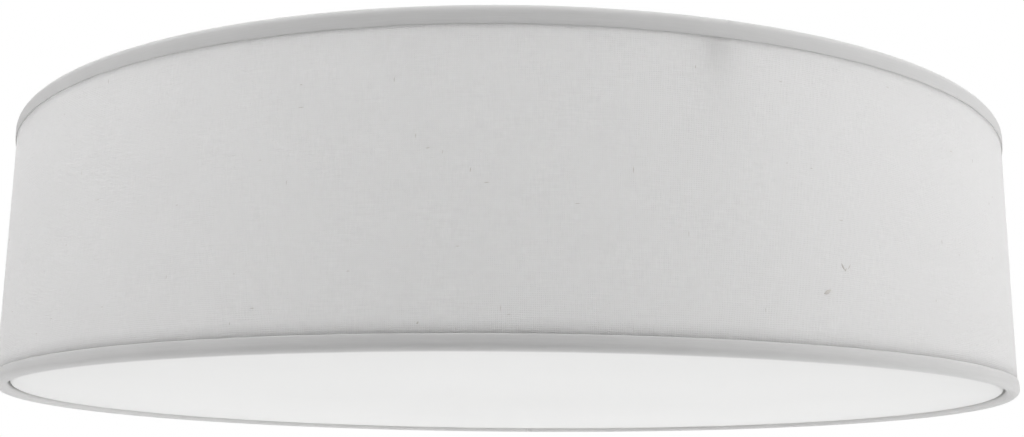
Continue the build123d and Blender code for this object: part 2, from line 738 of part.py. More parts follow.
def holder_lead(number, pole):
    """One lead from its pole of the terminal block, over the pan, down a grommet and into a holder."""
    level = lead_levels[number]
    swing = round((holder_angles[number] - terminal_angle) / arm_step * 2)
    if swing in (-1, 1):
        nearer = pole == swing
        turns = [(26, 12.5)] if nearer else [(25, -8.5), (12, 9)]
        in_pan = [(clamp_u, pole * pole_pitch)] + [(reach, swing * side) for reach, side in turns]
    else:
        in_pan = [(clamp_u, pole * pole_pitch), (22, pole * 9), (-4, pole * 5)]
    points = [plan_point(terminal_angle, reach, side, level) for reach, side in in_pan]
    under = [(grommet_reach, lead_spread, level),
             (grommet_reach + 0.5, lead_spread + 1, pan_bottom - lead_turn_drop),
             (grommet_reach + 2, lead_side, lead_entry_z),
             (holder_reach + lead_sunk, lead_side, lead_entry_z)]
    heading = holder_angles[number]
    points += [plan_point(heading, reach, -pole * side, height) for reach, side, height in under]
    kind = "live" if pole > 0 else "neutral"
    return lead_tube(f"{kind} lead {number + 1}", points)


def earth_lead():
    points = [plan_point(terminal_angle, *spot) for spot in earth_route]
    return lead_tube("earth lead", points)


# ---- every piece, one file for each node ----
def save(node, *shapes):
    solids = [solid for shape in shapes for solid in shape.solids()]
    export_step(solids[0] if len(solids) == 1 else Compound(solids), f"parts/{node}.step")


os.makedirs("parts", exist_ok=True)

save("ceiling_bracket", ceiling_bracket())
save("canopy_pan", canopy_pan())
save("canopy_screws", *canopy_screws())
save("centre_rod", centre_rod())
save("rod_nuts", *rod_nuts())
save("rod_washer", rod_washer())

save("terminal_block", terminal_block())
save("terminal_clamps", *terminal_clamps())
save("terminal_screws", *terminal_screws())
save("terminal_fixing_screw", terminal_fixing_screw())
save("earth_screw", earth_screw())
save("earth_tag", earth_tag())
save("earth_lead", earth_lead())
save("lead_grommets", *lead_grommets())
save("live_leads", *[holder_lead(number, 1) for number in range(arm_count)])
save("neutral_leads", *[holder_lead(number, -1) for number in range(arm_count)])

save("holder_rivets", *holder_rivets())
save("holder_screws", *holder_screws())
for number, angle in enumerate(holder_angles, start=1):
    save(f"holder_bracket_{number}", holder_bracket(angle))
    save(f"holder_body_{number}", holder_body(angle))
    save(f"holder_shell_{number}", holder_shell(angle))
    save(f"holder_contact_{number}", holder_contact(angle))
    save(f"bulb_cap_{number}", bulb_cap(angle))
    save(f"bulb_insulator_{number}", bulb_insulator(angle))
    save(f"bulb_contact_{number}", bulb_contact(angle))
    save(f"bulb_housing_{number}", bulb_housing(angle))
    save(f"bulb_globe_{number}", bulb_globe(angle))

save("spider_hub", spider_hub())
for number, angle in enumerate(arm_angles, start=1):
    save(f"spider_arm_{number}", spider_arm(angle))
save("arm_rivets", *arm_rivets())
save("hub_washer", hub_washer())
save("shade_nut", shade_nut())
save("top_ring", wire_ring(top_ring_z))
save("bottom_ring", wire_ring(bottom_ring_z))
save("shade_liner", shade_liner())
save("shade_cover", shade_cover())
save("top_trim", top_trim())
save("bottom_trim", bottom_trim())
save("diffuser", diffuser())
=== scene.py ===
import json
from math import atan2, cos, pi, radians, sin, tau
from random import Random

import bpy
from mathutils import Matrix, Vector, noise


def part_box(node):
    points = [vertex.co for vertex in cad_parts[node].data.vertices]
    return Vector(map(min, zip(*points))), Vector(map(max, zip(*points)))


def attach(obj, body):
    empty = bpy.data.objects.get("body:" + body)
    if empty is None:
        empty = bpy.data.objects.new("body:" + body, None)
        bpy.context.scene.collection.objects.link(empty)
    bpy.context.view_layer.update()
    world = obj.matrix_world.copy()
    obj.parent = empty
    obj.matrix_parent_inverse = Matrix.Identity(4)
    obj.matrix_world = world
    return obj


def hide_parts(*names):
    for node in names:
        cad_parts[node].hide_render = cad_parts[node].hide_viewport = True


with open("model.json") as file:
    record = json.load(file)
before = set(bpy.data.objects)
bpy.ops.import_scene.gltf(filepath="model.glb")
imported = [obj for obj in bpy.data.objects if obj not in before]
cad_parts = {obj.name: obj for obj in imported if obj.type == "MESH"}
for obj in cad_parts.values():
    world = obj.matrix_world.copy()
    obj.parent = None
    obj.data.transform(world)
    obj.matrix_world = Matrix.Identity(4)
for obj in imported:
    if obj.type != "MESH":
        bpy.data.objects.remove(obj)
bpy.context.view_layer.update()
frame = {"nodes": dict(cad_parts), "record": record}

MM = 0.001
nodes = frame["nodes"]


# ---- sizes and places, read from the frame ----
def low(node):
    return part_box(node)[0]


def high(node):
    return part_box(node)[1]


def middle(node):
    return (low(node) + high(node)) / 2


cover_r = high("shade_cover").x
cover_sheet = 0.5 * MM
hem_out_r = high("bottom_trim").x
hem_sheet = 0.8 * MM
wire_r = (high("bottom_ring").z - low("bottom_ring").z) / 2
ring_r = high("bottom_ring").x - wire_r
top_ring_z = high("top_ring").z - wire_r
bottom_ring_z = low("bottom_ring").z + wire_r
shade_top = high("top_trim").z
shade_bottom = low("bottom_trim").z
roll_r = bottom_ring_z - shade_bottom
roll_centre = hem_out_r - roll_r
top_hem_side = 6.0 * MM                        # straight part of each hem, outside the cover
bottom_hem_side = 3.6 * MM
top_hem_edge = top_ring_z - top_hem_side
bottom_hem_edge = bottom_ring_z + bottom_hem_side

arm_numbers = range(1, 4)
arm_angles = [atan2(middle(f"spider_arm_{k}").y, middle(f"spider_arm_{k}").x) for k in arm_numbers]
lamp_angles = [atan2(middle(f"bulb_globe_{k}").y, middle(f"bulb_globe_{k}").x) for k in arm_numbers]
arm_half = 6.3 * MM                            # half an arm's width and its clearance in the top hem

back = pi / 2                                  # azimuth of the cover's glued lap
tape_join = back - 0.06                        # where the ends of each hem's tape meet


# ---- camera, at the photograph's viewing angle ----
def make_camera(place, yaw, pitch, roll, lens):
    """Camera that looks along +Y, turned to the right by yaw, up by pitch and rolled."""
    forward = Vector((sin(yaw) * cos(pitch), cos(yaw) * cos(pitch), sin(pitch)))
    right = Vector((cos(yaw), -sin(yaw), 0))
    up = right.cross(forward)
    side = cos(roll) * right + sin(roll) * up
    top = cos(roll) * up - sin(roll) * right
    data = bpy.data.cameras.new("camera")
    data.lens = lens
    camera = bpy.data.objects.new("camera", data)
    bpy.context.scene.collection.objects.link(camera)
    turn = Matrix((side, top, -forward)).transposed().to_4x4()
    camera.matrix_world = Matrix.Translation(place) @ turn
    bpy.context.scene.camera = camera


make_camera(Vector((0, -0.8455, -0.2182)), radians(0.14), radians(12.14), radians(0.48), 47.2)


# ---- node materials ----
class Finish:
    """A procedural material round one principled shader, with short ways to add nodes to it."""

    def __init__(self, name, colour, roughness, **constants):
        self.material = bpy.data.materials.new(name)
        self.material.use_nodes = True
        self.tree = self.material.node_tree
        self.shader = self.tree.nodes["Principled BSDF"]
        self.shader.inputs["Base Color"].default_value = (*colour, 1)
        self.shader.inputs["Roughness"].default_value = roughness
        for socket, value in constants.items():
            self.shader.inputs[socket.replace("_", " ").title()].default_value = value
        self.colour = colour

    def add(self, kind, **settings):
        node = self.tree.nodes.new("ShaderNode" + kind)
        for key, value in settings.items():
            setattr(node, key, value)
        return node

    def feed(self, socket, value):
        """Sets a socket, or links another one to it."""
        if isinstance(value, bpy.types.NodeSocket):
            self.tree.links.new(value, socket)
        else:
            socket.default_value = value

    def math(self, operation, *values):
        node = self.add("Math", operation=operation)
        for socket, value in zip(node.inputs, values):
            self.feed(socket, value)
        return node.outputs[0]

    def place(self):
        """The piece's own coordinates, in metres."""
        return self.add("TexCoord").outputs["Object"]

    def strip(self):
        """Metres along and across a strip of cloth or a thread, from its UV map."""
        split = self.add("SeparateXYZ")
        self.feed(split.inputs[0], self.add("TexCoord").outputs["UV"])
        return split.outputs[0], split.outputs[1]

    def vector(self, *values):
        node = self.add("CombineXYZ")
        for socket, value in zip(node.inputs, values):
            self.feed(socket, value)
        return node.outputs[0]

    def stretched(self, *factors):
        """The piece's own coordinates, each multiplied by a factor."""
        node = self.add("VectorMath", operation="MULTIPLY")
        self.feed(node.inputs[0], self.place())
        node.inputs[1].default_value = factors
        return node.outputs[0]

    def noise(self, vector, scale, detail=2.0, rough=0.5):
        node = self.add("TexNoise")
        self.feed(node.inputs["Vector"], vector)
        node.inputs["Scale"].default_value = scale
        node.inputs["Detail"].default_value = detail
        node.inputs["Roughness"].default_value = rough
        return node.outputs["Fac"]

    def between(self, value, low_in, high_in, low_out, high_out, smooth=False):
        node = self.add("MapRange", interpolation_type="SMOOTHSTEP" if smooth else "LINEAR")
        self.feed(node.inputs[0], value)
        for socket, number in zip(list(node.inputs)[1:5], (low_in, high_in, low_out, high_out)):
            socket.default_value = number
        return node.outputs[0]

    def mix(self, factor, first, second):
        node = self.add("Mix", data_type="RGBA")
        self.feed(node.inputs[0], factor)
        for socket, value in ((node.inputs[6], first), (node.inputs[7], second)):
            self.feed(socket, (*value, 1) if isinstance(value, tuple) else value)
        return node.outputs[2]

    def tint(self, factor, low_share, high_share):
        """Colours the surface from a darker to a lighter share of its colour, as the factor goes up."""
        dark = tuple(low_share * part for part in self.colour)
        light = tuple(min(1, high_share * part) for part in self.colour)
        self.feed(self.shader.inputs["Base Color"], self.mix(factor, dark, light))

    def paint(self, colour):
        self.feed(self.shader.inputs["Base Color"], colour)

    def polish(self, factor, lowest, highest):
        """Varies the roughness with a factor from 0 to 1."""
        self.feed(self.shader.inputs["Roughness"], self.between(factor, 0, 1, lowest, highest))

    def relief(self, height, depth, strength=1.0):
        node = self.add("Bump")
        node.inputs["Strength"].default_value = strength
        node.inputs["Distance"].default_value = depth
        self.feed(node.inputs["Height"], height)
        self.feed(self.shader.inputs["Normal"], node.outputs[0])
        return node.outputs[0]

    def let_through(self, share, colour, normal=None):
        """Lets a share of the light behind a thin sheet through, spread evenly."""
        glow = self.add("BsdfTranslucent")
        glow.inputs["Color"].default_value = (*colour, 1)
        if normal:
            self.feed(glow.inputs["Normal"], normal)
        blend = self.add("MixShader")
        blend.inputs[0].default_value = share
        self.feed(blend.inputs[1], self.shader.outputs[0])
        self.feed(blend.inputs[2], glow.outputs[0])
        self.feed(self.tree.nodes["Material Output"].inputs["Surface"], blend.outputs[0])


def plain_weave(finish, along, across, along_pitch, across_pitch):
    """Height of a plain weave from 0 to 1, where every thread passes over one and under the next."""
    warp = finish.math("SINE", finish.math("MULTIPLY", along, pi / along_pitch))
    weft = finish.math("SINE", finish.math("MULTIPLY", across, pi / across_pitch))
    over = finish.math("MULTIPLY", warp, weft)
    warp_top = finish.math("MULTIPLY_ADD", over, 0.4, finish.math("ABSOLUTE", warp))
    weft_top = finish.math("MULTIPLY_ADD", over, -0.4, finish.math("ABSOLUTE", weft))
    return finish.math("MULTIPLY", finish.math("MAXIMUM", warp_top, weft_top), 0.7)


def shade_fabric():
    """Off-white plain weave of slubby thread, with light coming through it from inside the drum."""
    finish = Finish("shade_fabric", (0.83, 0.82, 0.805), 0.88, sheen_weight=0.12, sheen_roughness=0.5)
    along, across = finish.strip()
    weft_pitch, warp_pitch = 0.9 * MM, 0.78 * MM
    wander = finish.noise(finish.vector(along, across, 0.0), 90, 2)
    across_bent = finish.math("MULTIPLY_ADD", wander, 1.6 * weft_pitch, across)
    along_bent = finish.math("MULTIPLY_ADD", wander, 1.2 * warp_pitch, along)
    weave = plain_weave(finish, along_bent, across_bent, warp_pitch, weft_pitch)

    def slubs(length_wise, thread_wise, pitch, stretch, seed):
        """Thick and thin stretches of the threads that run one way, thread by thread."""
        run = finish.math("DIVIDE", length_wise, stretch)
        thread = finish.math("DIVIDE", thread_wise, pitch)
        return finish.between(finish.noise(finish.vector(run, thread, seed), 1.0, 1), 0.3, 0.7, 0.0, 1.0)

    weft_slub = slubs(along, across_bent, 1.1 * weft_pitch, 7 * MM, 0.0)
    warp_slub = slubs(across, along_bent, 1.1 * warp_pitch, 6 * MM, 3.0)
    slub = finish.math("MULTIPLY", finish.math("ADD", weft_slub, warp_slub), 0.5)
    patchy = finish.between(finish.noise(finish.vector(along, across, 8.0), 45, 2), 0.35, 0.65, 0.15, 1.0)
    thick = finish.math("MULTIPLY_ADD", finish.math("SUBTRACT", slub, 0.5), patchy, 0.5)
    cloudy = finish.noise(finish.vector(along, across, 5.0), 7, 2)
    thread_tone = finish.math("MULTIPLY_ADD", thick, 0.6, finish.math("MULTIPLY", cloudy, 0.14))
    # The weave's height also goes into the colour, so the gaps between threads come out darker. This is painted
    # shade between the threads, added to the yarn's own thick-and-thin tone.
    shown = finish.math("MULTIPLY_ADD", weave, 0.3, thread_tone)
    finish.tint(shown, 0.76, 1.16)
    height = finish.math("MULTIPLY_ADD", thick, 0.8, weave)
    normal = finish.relief(height, 0.16 * MM, 0.9)
    finish.let_through(0.7, (0.93, 0.93, 0.935), normal)
    return finish.material


def hem_fabric():
    """Smoother tape in the cover's shade, woven finely and streaked along its length."""
    # The tape's colour is set a little darker than the cover's. This is painted shade for the hems: their tape is
    # the cover's white and looks greyer only because less light comes through it.
    finish = Finish("hem_fabric", (0.79, 0.785, 0.776), 0.85, sheen_weight=0.08, sheen_roughness=0.5)
    along, across = finish.strip()
    weave = plain_weave(finish, along, across, 0.45 * MM, 0.5 * MM)
    run = finish.vector(finish.math("MULTIPLY", along, 60), finish.math("MULTIPLY", across, 1800), 0.0)
    streak = finish.noise(run, 1.0, 2)
    cloudy = finish.noise(finish.vector(along, across, 2.0), 30, 3)
    # The weave's height also goes into the colour, darker in the gaps between threads. This is painted shade; the
    # streaks and cloudy tone are the tape's own.
    shown = finish.math("MULTIPLY_ADD", streak, 0.5, finish.math("MULTIPLY_ADD", weave, 0.3,
                                                                 finish.math("MULTIPLY", cloudy, 0.3)))
    finish.tint(shown, 0.84, 1.07)
    normal = finish.relief(finish.math("MULTIPLY_ADD", streak, 0.8, weave), 0.07 * MM, 0.8)
    finish.let_through(0.32, (0.90, 0.90, 0.905), normal)
    return finish.material


def loose_thread():
    """Pulled or spun-in fibres on the cover, matt and a little darker than it."""
    finish = Finish("loose_thread", (0.70, 0.675, 0.645), 0.9, sheen_weight=0.1)
    fibre = finish.noise(finish.stretched(1, 1, 1), 2600, 2)
    finish.tint(fibre, 0.8, 1.15)
    finish.relief(fibre, 0.03 * MM)
    return finish.material


def liner_plastic():
    """Thin white styrene sheet, satin, which glows when light falls on its far side."""
    finish = Finish("liner_plastic", (0.89, 0.89, 0.87), 0.42)
    grain = finish.noise(finish.stretched(1, 1, 0.25), 420, 3)
    finish.tint(grain, 0.97, 1.02)
    finish.polish(grain, 0.36, 0.5)
    finish.relief(grain, 0.02 * MM, 0.5)
    finish.let_through(0.75, (0.965, 0.965, 0.97))
    return finish.material


def opal_acrylic():
    """Opal sheet with a satin face, an even white body and the faintest drift in tone."""
    finish = Finish("opal_acrylic", (0.91, 0.91, 0.90), 0.34)
    drift = finish.noise(finish.place(), 9, 2)
    haze = finish.noise(finish.place(), 850, 2)
    finish.tint(drift, 0.975, 1.01)
    finish.polish(haze, 0.3, 0.4)
    finish.relief(haze, 0.004 * MM, 0.6)
    finish.let_through(0.15, (0.92, 0.915, 0.91))
    return finish.material


def powder_coat():
    """White powder coat: satin, with the fine orange peel that it dries to."""
    finish = Finish("white_steel", (0.88, 0.88, 0.87), 0.4, coat_weight=0.15, coat_roughness=0.25)
    peel = finish.noise(finish.place(), 900, 3)
    dust = finish.noise(finish.place(), 40, 3)
    finish.tint(dust, 0.95, 1.01)
    finish.polish(peel, 0.34, 0.48)
    finish.relief(peel, 0.05 * MM, 0.7)
    return finish.material


def bright_metal(name, colour, smooth, coarse, brush, worn):
    """Plated or bare metal with brushing along Z, blotches in its sheen and darker patches."""
    finish = Finish(name, colour, smooth, metallic=1.0)
    blotch = finish.noise(finish.place(), 160, 4, 0.6)
    lines = finish.noise(finish.stretched(1, 1, brush), 2200, 2)
    finish.tint(blotch, worn, 1.06)
    finish.polish(finish.math("MULTIPLY_ADD", lines, 0.5, finish.math("MULTIPLY", blotch, 0.5)), smooth, coarse)
    finish.relief(lines, 0.012 * MM, 0.6)
    return finish.material


def zinc_plate():
    """Zinc plate: bright, with crystal patches that catch the light a little differently."""
    finish = Finish("zinc_steel", (0.70, 0.70, 0.68), 0.3, metallic=1.0)
    crystals = finish.add("TexVoronoi", feature="F1")
    finish.feed(crystals.inputs["Vector"], finish.place())
    crystals.inputs["Scale"].default_value = 480
    patch = finish.add("SeparateColor")
    finish.feed(patch.inputs[0], crystals.outputs["Color"])
    blotch = finish.noise(finish.place(), 90, 3)
    shown = finish.math("MULTIPLY_ADD", patch.outputs[0], 0.35, finish.math("MULTIPLY", blotch, 0.65))
    finish.paint(finish.mix(shown, (0.56, 0.56, 0.53), (0.80, 0.80, 0.80)))
    finish.polish(shown, 0.24, 0.44)
    finish.relief(finish.noise(finish.place(), 2400, 2), 0.01 * MM, 0.5)
    return finish.material


def moulded(name, colour, smooth, coarse, grain, depth, **constants):
    """Moulded plastic or rubber: an even body, a fine skin grain and faint flow marks."""
    finish = Finish(name, colour, smooth, **constants)
    flow = finish.noise(finish.stretched(1, 1, 0.3), 70, 3)
    skin = finish.noise(finish.place(), grain, 3)
    finish.tint(flow, 0.94, 1.02)
    finish.polish(skin, smooth, coarse)
    finish.relief(skin, depth, 0.7)
    return finish.material


def bulb_opal():
    """Frosted opal dome: even and milky, with a soft sheen."""
    finish = Finish("bulb_opal", (0.94, 0.94, 0.92), 0.4, subsurface_weight=0.25, subsurface_scale=2 * MM)
    frost = finish.noise(finish.place(), 2400, 2)
    drift = finish.noise(finish.place(), 50, 2)
    finish.tint(drift, 0.97, 1.01)
    finish.polish(frost, 0.34, 0.5)
    finish.relief(frost, 0.006 * MM, 0.6)
    return finish.material


def earth_insulation():
    """Green insulation with a yellow stripe along its upper side."""
    finish = Finish("earth_insulation", (0.10, 0.36, 0.07), 0.38)
    facing = finish.add("SeparateXYZ")
    finish.feed(facing.inputs[0], finish.add("TexCoord").outputs["Normal"])
    stripe = finish.between(facing.outputs[2], 0.28, 0.36, 0.0, 1.0, smooth=True)
    grain = finish.noise(finish.place(), 1500, 2)
    yellow = finish.mix(grain, (0.72, 0.56, 0.05), (0.80, 0.64, 0.08))
    green = finish.mix(grain, (0.09, 0.33, 0.06), (0.12, 0.39, 0.08))
    finish.paint(finish.mix(stripe, green, yellow))
    finish.polish(grain, 0.32, 0.46)
    finish.relief(grain, 0.01 * MM, 0.5)
    return finish.material


finishes = {
    "shade_fabric": shade_fabric(),
    "hem_fabric": hem_fabric(),
    "liner_plastic": liner_plastic(),
    "opal_acrylic": opal_acrylic(),
    "white_steel": powder_coat(),
    "zinc_steel": zinc_plate(),
    "tinned_metal": bright_metal("tinned_metal", (0.74, 0.74, 0.73), 0.34, 0.5, 0.1, 0.82),
    "brass": bright_metal("brass", (0.78, 0.62, 0.32), 0.28, 0.46, 0.08, 0.72),
    "cap_metal": bright_metal("cap_metal", (0.78, 0.78, 0.76), 0.16, 0.3, 0.5, 0.88),
    "block_plastic": moulded("block_plastic", (0.90, 0.89, 0.84), 0.42, 0.58, 1800, 0.02 * MM,
                             subsurface_weight=0.15, subsurface_scale=1 * MM),
    "holder_plastic": moulded("holder_plastic", (0.90, 0.89, 0.86), 0.36, 0.5, 1400, 0.015 * MM),
    "black_plastic": moulded("black_plastic", (0.03, 0.03, 0.03), 0.12, 0.22, 900, 0.01 * MM),
    "bulb_plastic": moulded("bulb_plastic", (0.90, 0.90, 0.89), 0.26, 0.36, 1600, 0.008 * MM),
    "nut_plastic": moulded("nut_plastic", (0.90, 0.90, 0.89), 0.3, 0.42, 1500, 0.012 * MM),
    "grommet_rubber": moulded("grommet_rubber", (0.05, 0.05, 0.05), 0.6, 0.8, 2200, 0.02 * MM),
    "live_insulation": moulded("live_insulation", (0.23, 0.11, 0.05), 0.34, 0.46, 1500, 0.01 * MM),
    "neutral_insulation": moulded("neutral_insulation", (0.06, 0.20, 0.50), 0.34, 0.46, 1500, 0.01 * MM),
    "earth_insulation": earth_insulation(),
    "bulb_opal": bulb_opal(),
}


def wear(piece, slot):
    """Gives a piece the finish of one of the record's material slots."""
    piece.data.materials.clear()
    piece.data.materials.append(finishes[slot])


for row in frame["record"]["subparts"]:
    wear(nodes[row["node"]], row["material_slot"])


# ---- mesh helpers ----
def new_piece(name, body, slot, points, faces, corner_uvs):
    """Makes a smooth mesh that rides a body, with its UV map in metres."""
    mesh = bpy.data.meshes.new(name)
    mesh.from_pydata(points, [], faces)
    mesh.uv_layers.new(name="strip").data.foreach_set("uv", [number for uv in corner_uvs for number in uv])
    mesh.polygons.foreach_set("use_smooth", [True] * len(faces))
    mesh.validate()
    piece = bpy.data.objects.new(name, mesh)
    bpy.context.scene.collection.objects.link(piece)
    wear(piece, slot)
    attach(piece, body)
    return piece


def grid(sections, u_marks, v_marks, round_closed):
    """Points, faces and UVs of a skin over sections, each a closed loop of points.  It closes round from
    the last section to the first, or gets an end face at each end."""
    count, size = len(sections), len(sections[0])
    points = [point for section in sections for point in section]
    faces, uvs = [], []
    for i in range(count if round_closed else count - 1):
        for j in range(size):
            a, b = i * size, (i + 1) % count * size
            faces.append((a + j, b + j, b + (j + 1) % size, a + (j + 1) % size))
            uvs += [(u_marks[i], v_marks[j]), (u_marks[i + 1], v_marks[j]),
                    (u_marks[i + 1], v_marks[j + 1]), (u_marks[i], v_marks[j + 1])]
    if not round_closed:
        last = (count - 1) * size
        faces += [tuple(range(size)), tuple(last + j for j in reversed(range(size)))]
        uvs += [(u_marks[0], v_marks[j]) for j in range(size)]
        uvs += [(u_marks[-1], v_marks[j]) for j in reversed(range(size))]
    return points, faces, uvs


def lengths(loop):
    """Distance along a closed loop of (radius, height) up to each point, and round to the first."""
    marks = [0.0]
    for a, b in zip(loop, loop[1:] + loop[:1]):
        marks.append(marks[-1] + ((b[0] - a[0]) ** 2 + (b[1] - a[1]) ** 2) ** 0.5)
    return marks


def upright(angle, radius, height):
    return Vector((radius * cos(angle), radius * sin(angle), height))


# ---- shade cover ----
lap_half = 6 * MM / cover_r                    # half of the glued lap, as an angle
lap_rise = 8 * MM / cover_r                    # where the upper end climbs over the lower one
cover_step = radians(0.75)
cover_rows = 14
cover_clearance = 0.15 * MM                    # between the lap's upper end and the hems


def cover_section(angle, lift, bottom, top):
    """Loop across the cover at one azimuth: up its outside and down its inside."""
    outer = cover_r + lift
    inner = outer - cover_sheet
    heights = [bottom + (top - bottom) * row / cover_rows for row in range(cover_rows + 1)]
    return [(outer, z) for z in heights] + [(inner, z) for z in reversed(heights)]


def shade_cover():
    """One sheet round the liner, whose last end is glued over its first one at the back."""
    start = back - lap_half
    turn = tau + 2 * lap_half
    steps = round(turn / cover_step)
    sections, marks = [], []
    for step in range(steps + 1):
        along = turn * step / steps
        angle = start + along
        climb = min(1.0, max(0.0, (along - (tau - lap_rise)) / lap_rise))
        lift = climb * cover_sheet + 0.04 * MM * noise.noise(upright(angle, 14 * climb, 9 * along))
        tucked = climb < 0.5
        bottom = bottom_ring_z if tucked else bottom_hem_edge + cover_clearance
        top = top_ring_z if tucked else top_hem_edge - cover_clearance
        loop = cover_section(angle, lift, bottom, top)
        sections.append([upright(angle, radius, z) for radius, z in loop])
        marks.append(along * cover_r)
    flat_loop = cover_section(start, 0, bottom_ring_z, top_ring_z)
    points, faces, uvs = grid(sections, marks, lengths(flat_loop), False)
    cover = new_piece("shade_cover_cloth", "shade", "shade_fabric", points, faces, uvs)
    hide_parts("shade_cover")


# ---- hems ----
tape_middle_roll = roll_r - hem_sheet / 2
tuck_middle = ring_r - (roll_centre - tape_middle_roll)
tape_roll_length = pi * tape_middle_roll
tape_tuck_length = pi / 2 * tuck_middle
tape_columns = 460


def tape_spot(distance, hem_side):
    """Radius, height over the ring's middle and outward direction on the tape's middle line, from its
    outer edge up and over the ring, for a hem at the top."""
    if distance < hem_side:
        return roll_centre + tape_middle_roll, distance - hem_side, (1.0, 0.0)
    turned = (distance - hem_side) / tape_middle_roll
    if turned < pi:
        return (roll_centre + tape_middle_roll * cos(turned), tape_middle_roll * sin(turned),
                (cos(turned), sin(turned)))
    tucked = (distance - hem_side - tape_roll_length) / tuck_middle
    return (ring_r - tuck_middle * cos(tucked), -tuck_middle * sin(tucked), (-cos(tucked), -sin(tucked)))


def tape_section(angle, reach, hem_side):
    """Loop across the tape: out along its outer face and back along its inner one, thin at both edges.
    Small creases grow towards its tucked edge, because a straight tape goes round a smaller circle there."""
    stations = 30
    outside, inside = [], []
    crease = noise.noise(Vector((230 * angle, 0.5, 0))) + 0.5 * noise.noise(Vector((610 * angle, 7.5, 0)))
    wave = 0.22 * MM * noise.noise(Vector((26 * angle, 3.5, 0)))
    for station in range(stations + 1):
        share = station / stations
        distance = reach * share + wave * (1 - share) ** 2
        radius, height, (out_r, out_z) = tape_spot(max(0.0, distance), hem_side)
        edge = min(1.0, 0.45 + 6 * min(share, 1 - share))
        puff = 0.16 * MM * crease * share ** 2
        half = hem_sheet / 2 * edge
        outside.append((radius + (half + puff) * out_r, height + (half + puff) * out_z))
        inside.append((radius + (puff - half) * out_r, height + (puff - half) * out_z))
    return outside + inside[::-1]


def hem(name, node, ring_z, side, hem_side, join):
    """A tape rolled over a ring, its ends butted at the azimuth given; side is 1 up, -1 down.  The top
    one stops short where an arm stands against the ring."""
    tape_length = hem_side + tape_roll_length + tape_tuck_length
    butt = 0.25 * MM / cover_r
    notch = arm_half / ring_r
    angles = [join + butt + (tau - 2 * butt) * step / tape_columns for step in range(tape_columns + 1)]
    if side > 0:
        for arm in arm_angles:
            for edge in (arm - notch, arm + notch):
                angles += [join + (edge + nudge - join) % tau for nudge in (-0.1 * notch, 0.1 * notch)]
    angles.sort()
    notch_reach = hem_side + tape_roll_length * 0.9
    sections = []
    for angle in angles:
        near_arm = side > 0 and any(abs((angle - arm + pi) % tau - pi) < notch for arm in arm_angles)
        loop = tape_section(angle, notch_reach if near_arm else tape_length, hem_side)[::side]
        sections.append([upright(angle, radius, ring_z + side * height) for radius, height in loop])
    marks = [angle * roll_centre for angle in angles]
    points, faces, uvs = grid(sections, marks, lengths(tape_section(0, tape_length, hem_side)[::side]), False)
    tape = new_piece(name, "shade", "hem_fabric", points, faces, uvs)
    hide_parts(node)


shade_cover()
hem("top_hem_tape", "top_trim", top_ring_z, 1, top_hem_side, tape_join)
hem("bottom_hem_tape", "bottom_trim", bottom_ring_z, -1, bottom_hem_side, tape_join)


# ---- slubs and pulled threads on the cover ----
fibre_sides = 8
fibre_steps = 10
thread_finish = loose_thread()


def fibre(azimuth, height, line, width):
    """Sections of a thin flat fibre that lies on the cover and tapers to both ends.  line has its points
    in millimetres along and up the cover from a place at an azimuth and height."""
    places = [Vector((along, up)) * MM for along, up in line]
    sections = []
    for step in range(fibre_steps + 1):
        share = step / fibre_steps * (len(places) - 1)
        first = min(int(share), len(places) - 2)
        spot = places[first].lerp(places[first + 1], share - first)
        heading = (places[first + 1] - places[first]).normalized()
        half = max(0.06, sin(pi * step / fibre_steps)) * width / 2
        section = []
        for side in range(fibre_sides):
            turned = tau * side / fibre_sides
            flat = spot + half * cos(turned) * Vector((-heading.y, heading.x))
            radius = cover_r + 0.04 * MM + 0.4 * half * sin(turned)
            section.append(upright(azimuth + flat.x / cover_r, radius, height + flat.y))
        sections.append(section)
    return sections


def fibres(name, rows):
    """One piece of many fibres."""
    points, faces, uvs = [], [], []
    for azimuth, height, line, width in rows:
        some, skin, marks = grid(fibre(azimuth, height, line, width), [0.0] * (fibre_steps + 1),
                                 [0.0] * (fibre_sides + 1), False)
        faces += [tuple(len(points) + corner for corner in face) for face in skin]
        points += some
        uvs += marks
    piece = new_piece(name, "shade", "shade_fabric", points, faces, uvs)
    piece.data.materials[0] = thread_finish
    return piece


snag = radians(-60.3), -113 * MM               # threads pulled into a V near the front right
nub = radians(-62.25), -125 * MM               # a lump spun into the yarn, below the snag
fibres("pulled_threads", [
    (*snag, [(-1.7, 1.6), (-0.7, 0.2), (0.5, -1.8)], 0.9 * MM),
    (*snag, [(0.4, -1.9), (0.9, -1.2), (1.4, -0.3)], 0.7 * MM),
    (*snag, [(2.0, -0.9), (3.0, 0.2), (4.0, 1.7)], 0.45 * MM),
    (*nub, [(-2.1, -1.0), (0.0, -0.1), (2.1, 1.2)], 1.7 * MM),
    (radians(-97.1), -144.5 * MM, [(-0.4, -0.5), (0.4, 0.6)], 0.8 * MM),
    (radians(-93.1), -80 * MM, [(-0.2, -1.2), (0.1, 1.2)], 0.35 * MM),
    (radians(-96.6), -70.5 * MM, [(-0.9, 0.1), (0.9, 0.3)], 0.4 * MM),
    (radians(-91.8), -85.5 * MM, [(-1.3, 0.0), (1.3, 0.1)], 0.35 * MM),
])


def scattered_slubs(count, seed):
    """Short thick places in the yarn all round the cover, along one thread or the other."""
    chance = Random(seed)
    rows = []
    for _ in range(count):
        azimuth = chance.uniform(0, tau)
        height = chance.uniform(bottom_hem_edge + 4 * MM, top_hem_edge - 4 * MM)
        half = chance.uniform(0.5, 1.6)
        line = [(-half, 0), (half, 0.1)] if chance.random() < 0.65 else [(0, -half), (0.1, half)]
        rows.append((azimuth, height, line, chance.uniform(0.22, 0.38) * MM))
    return rows


fibres("scattered_slubs", scattered_slubs(120, 11))


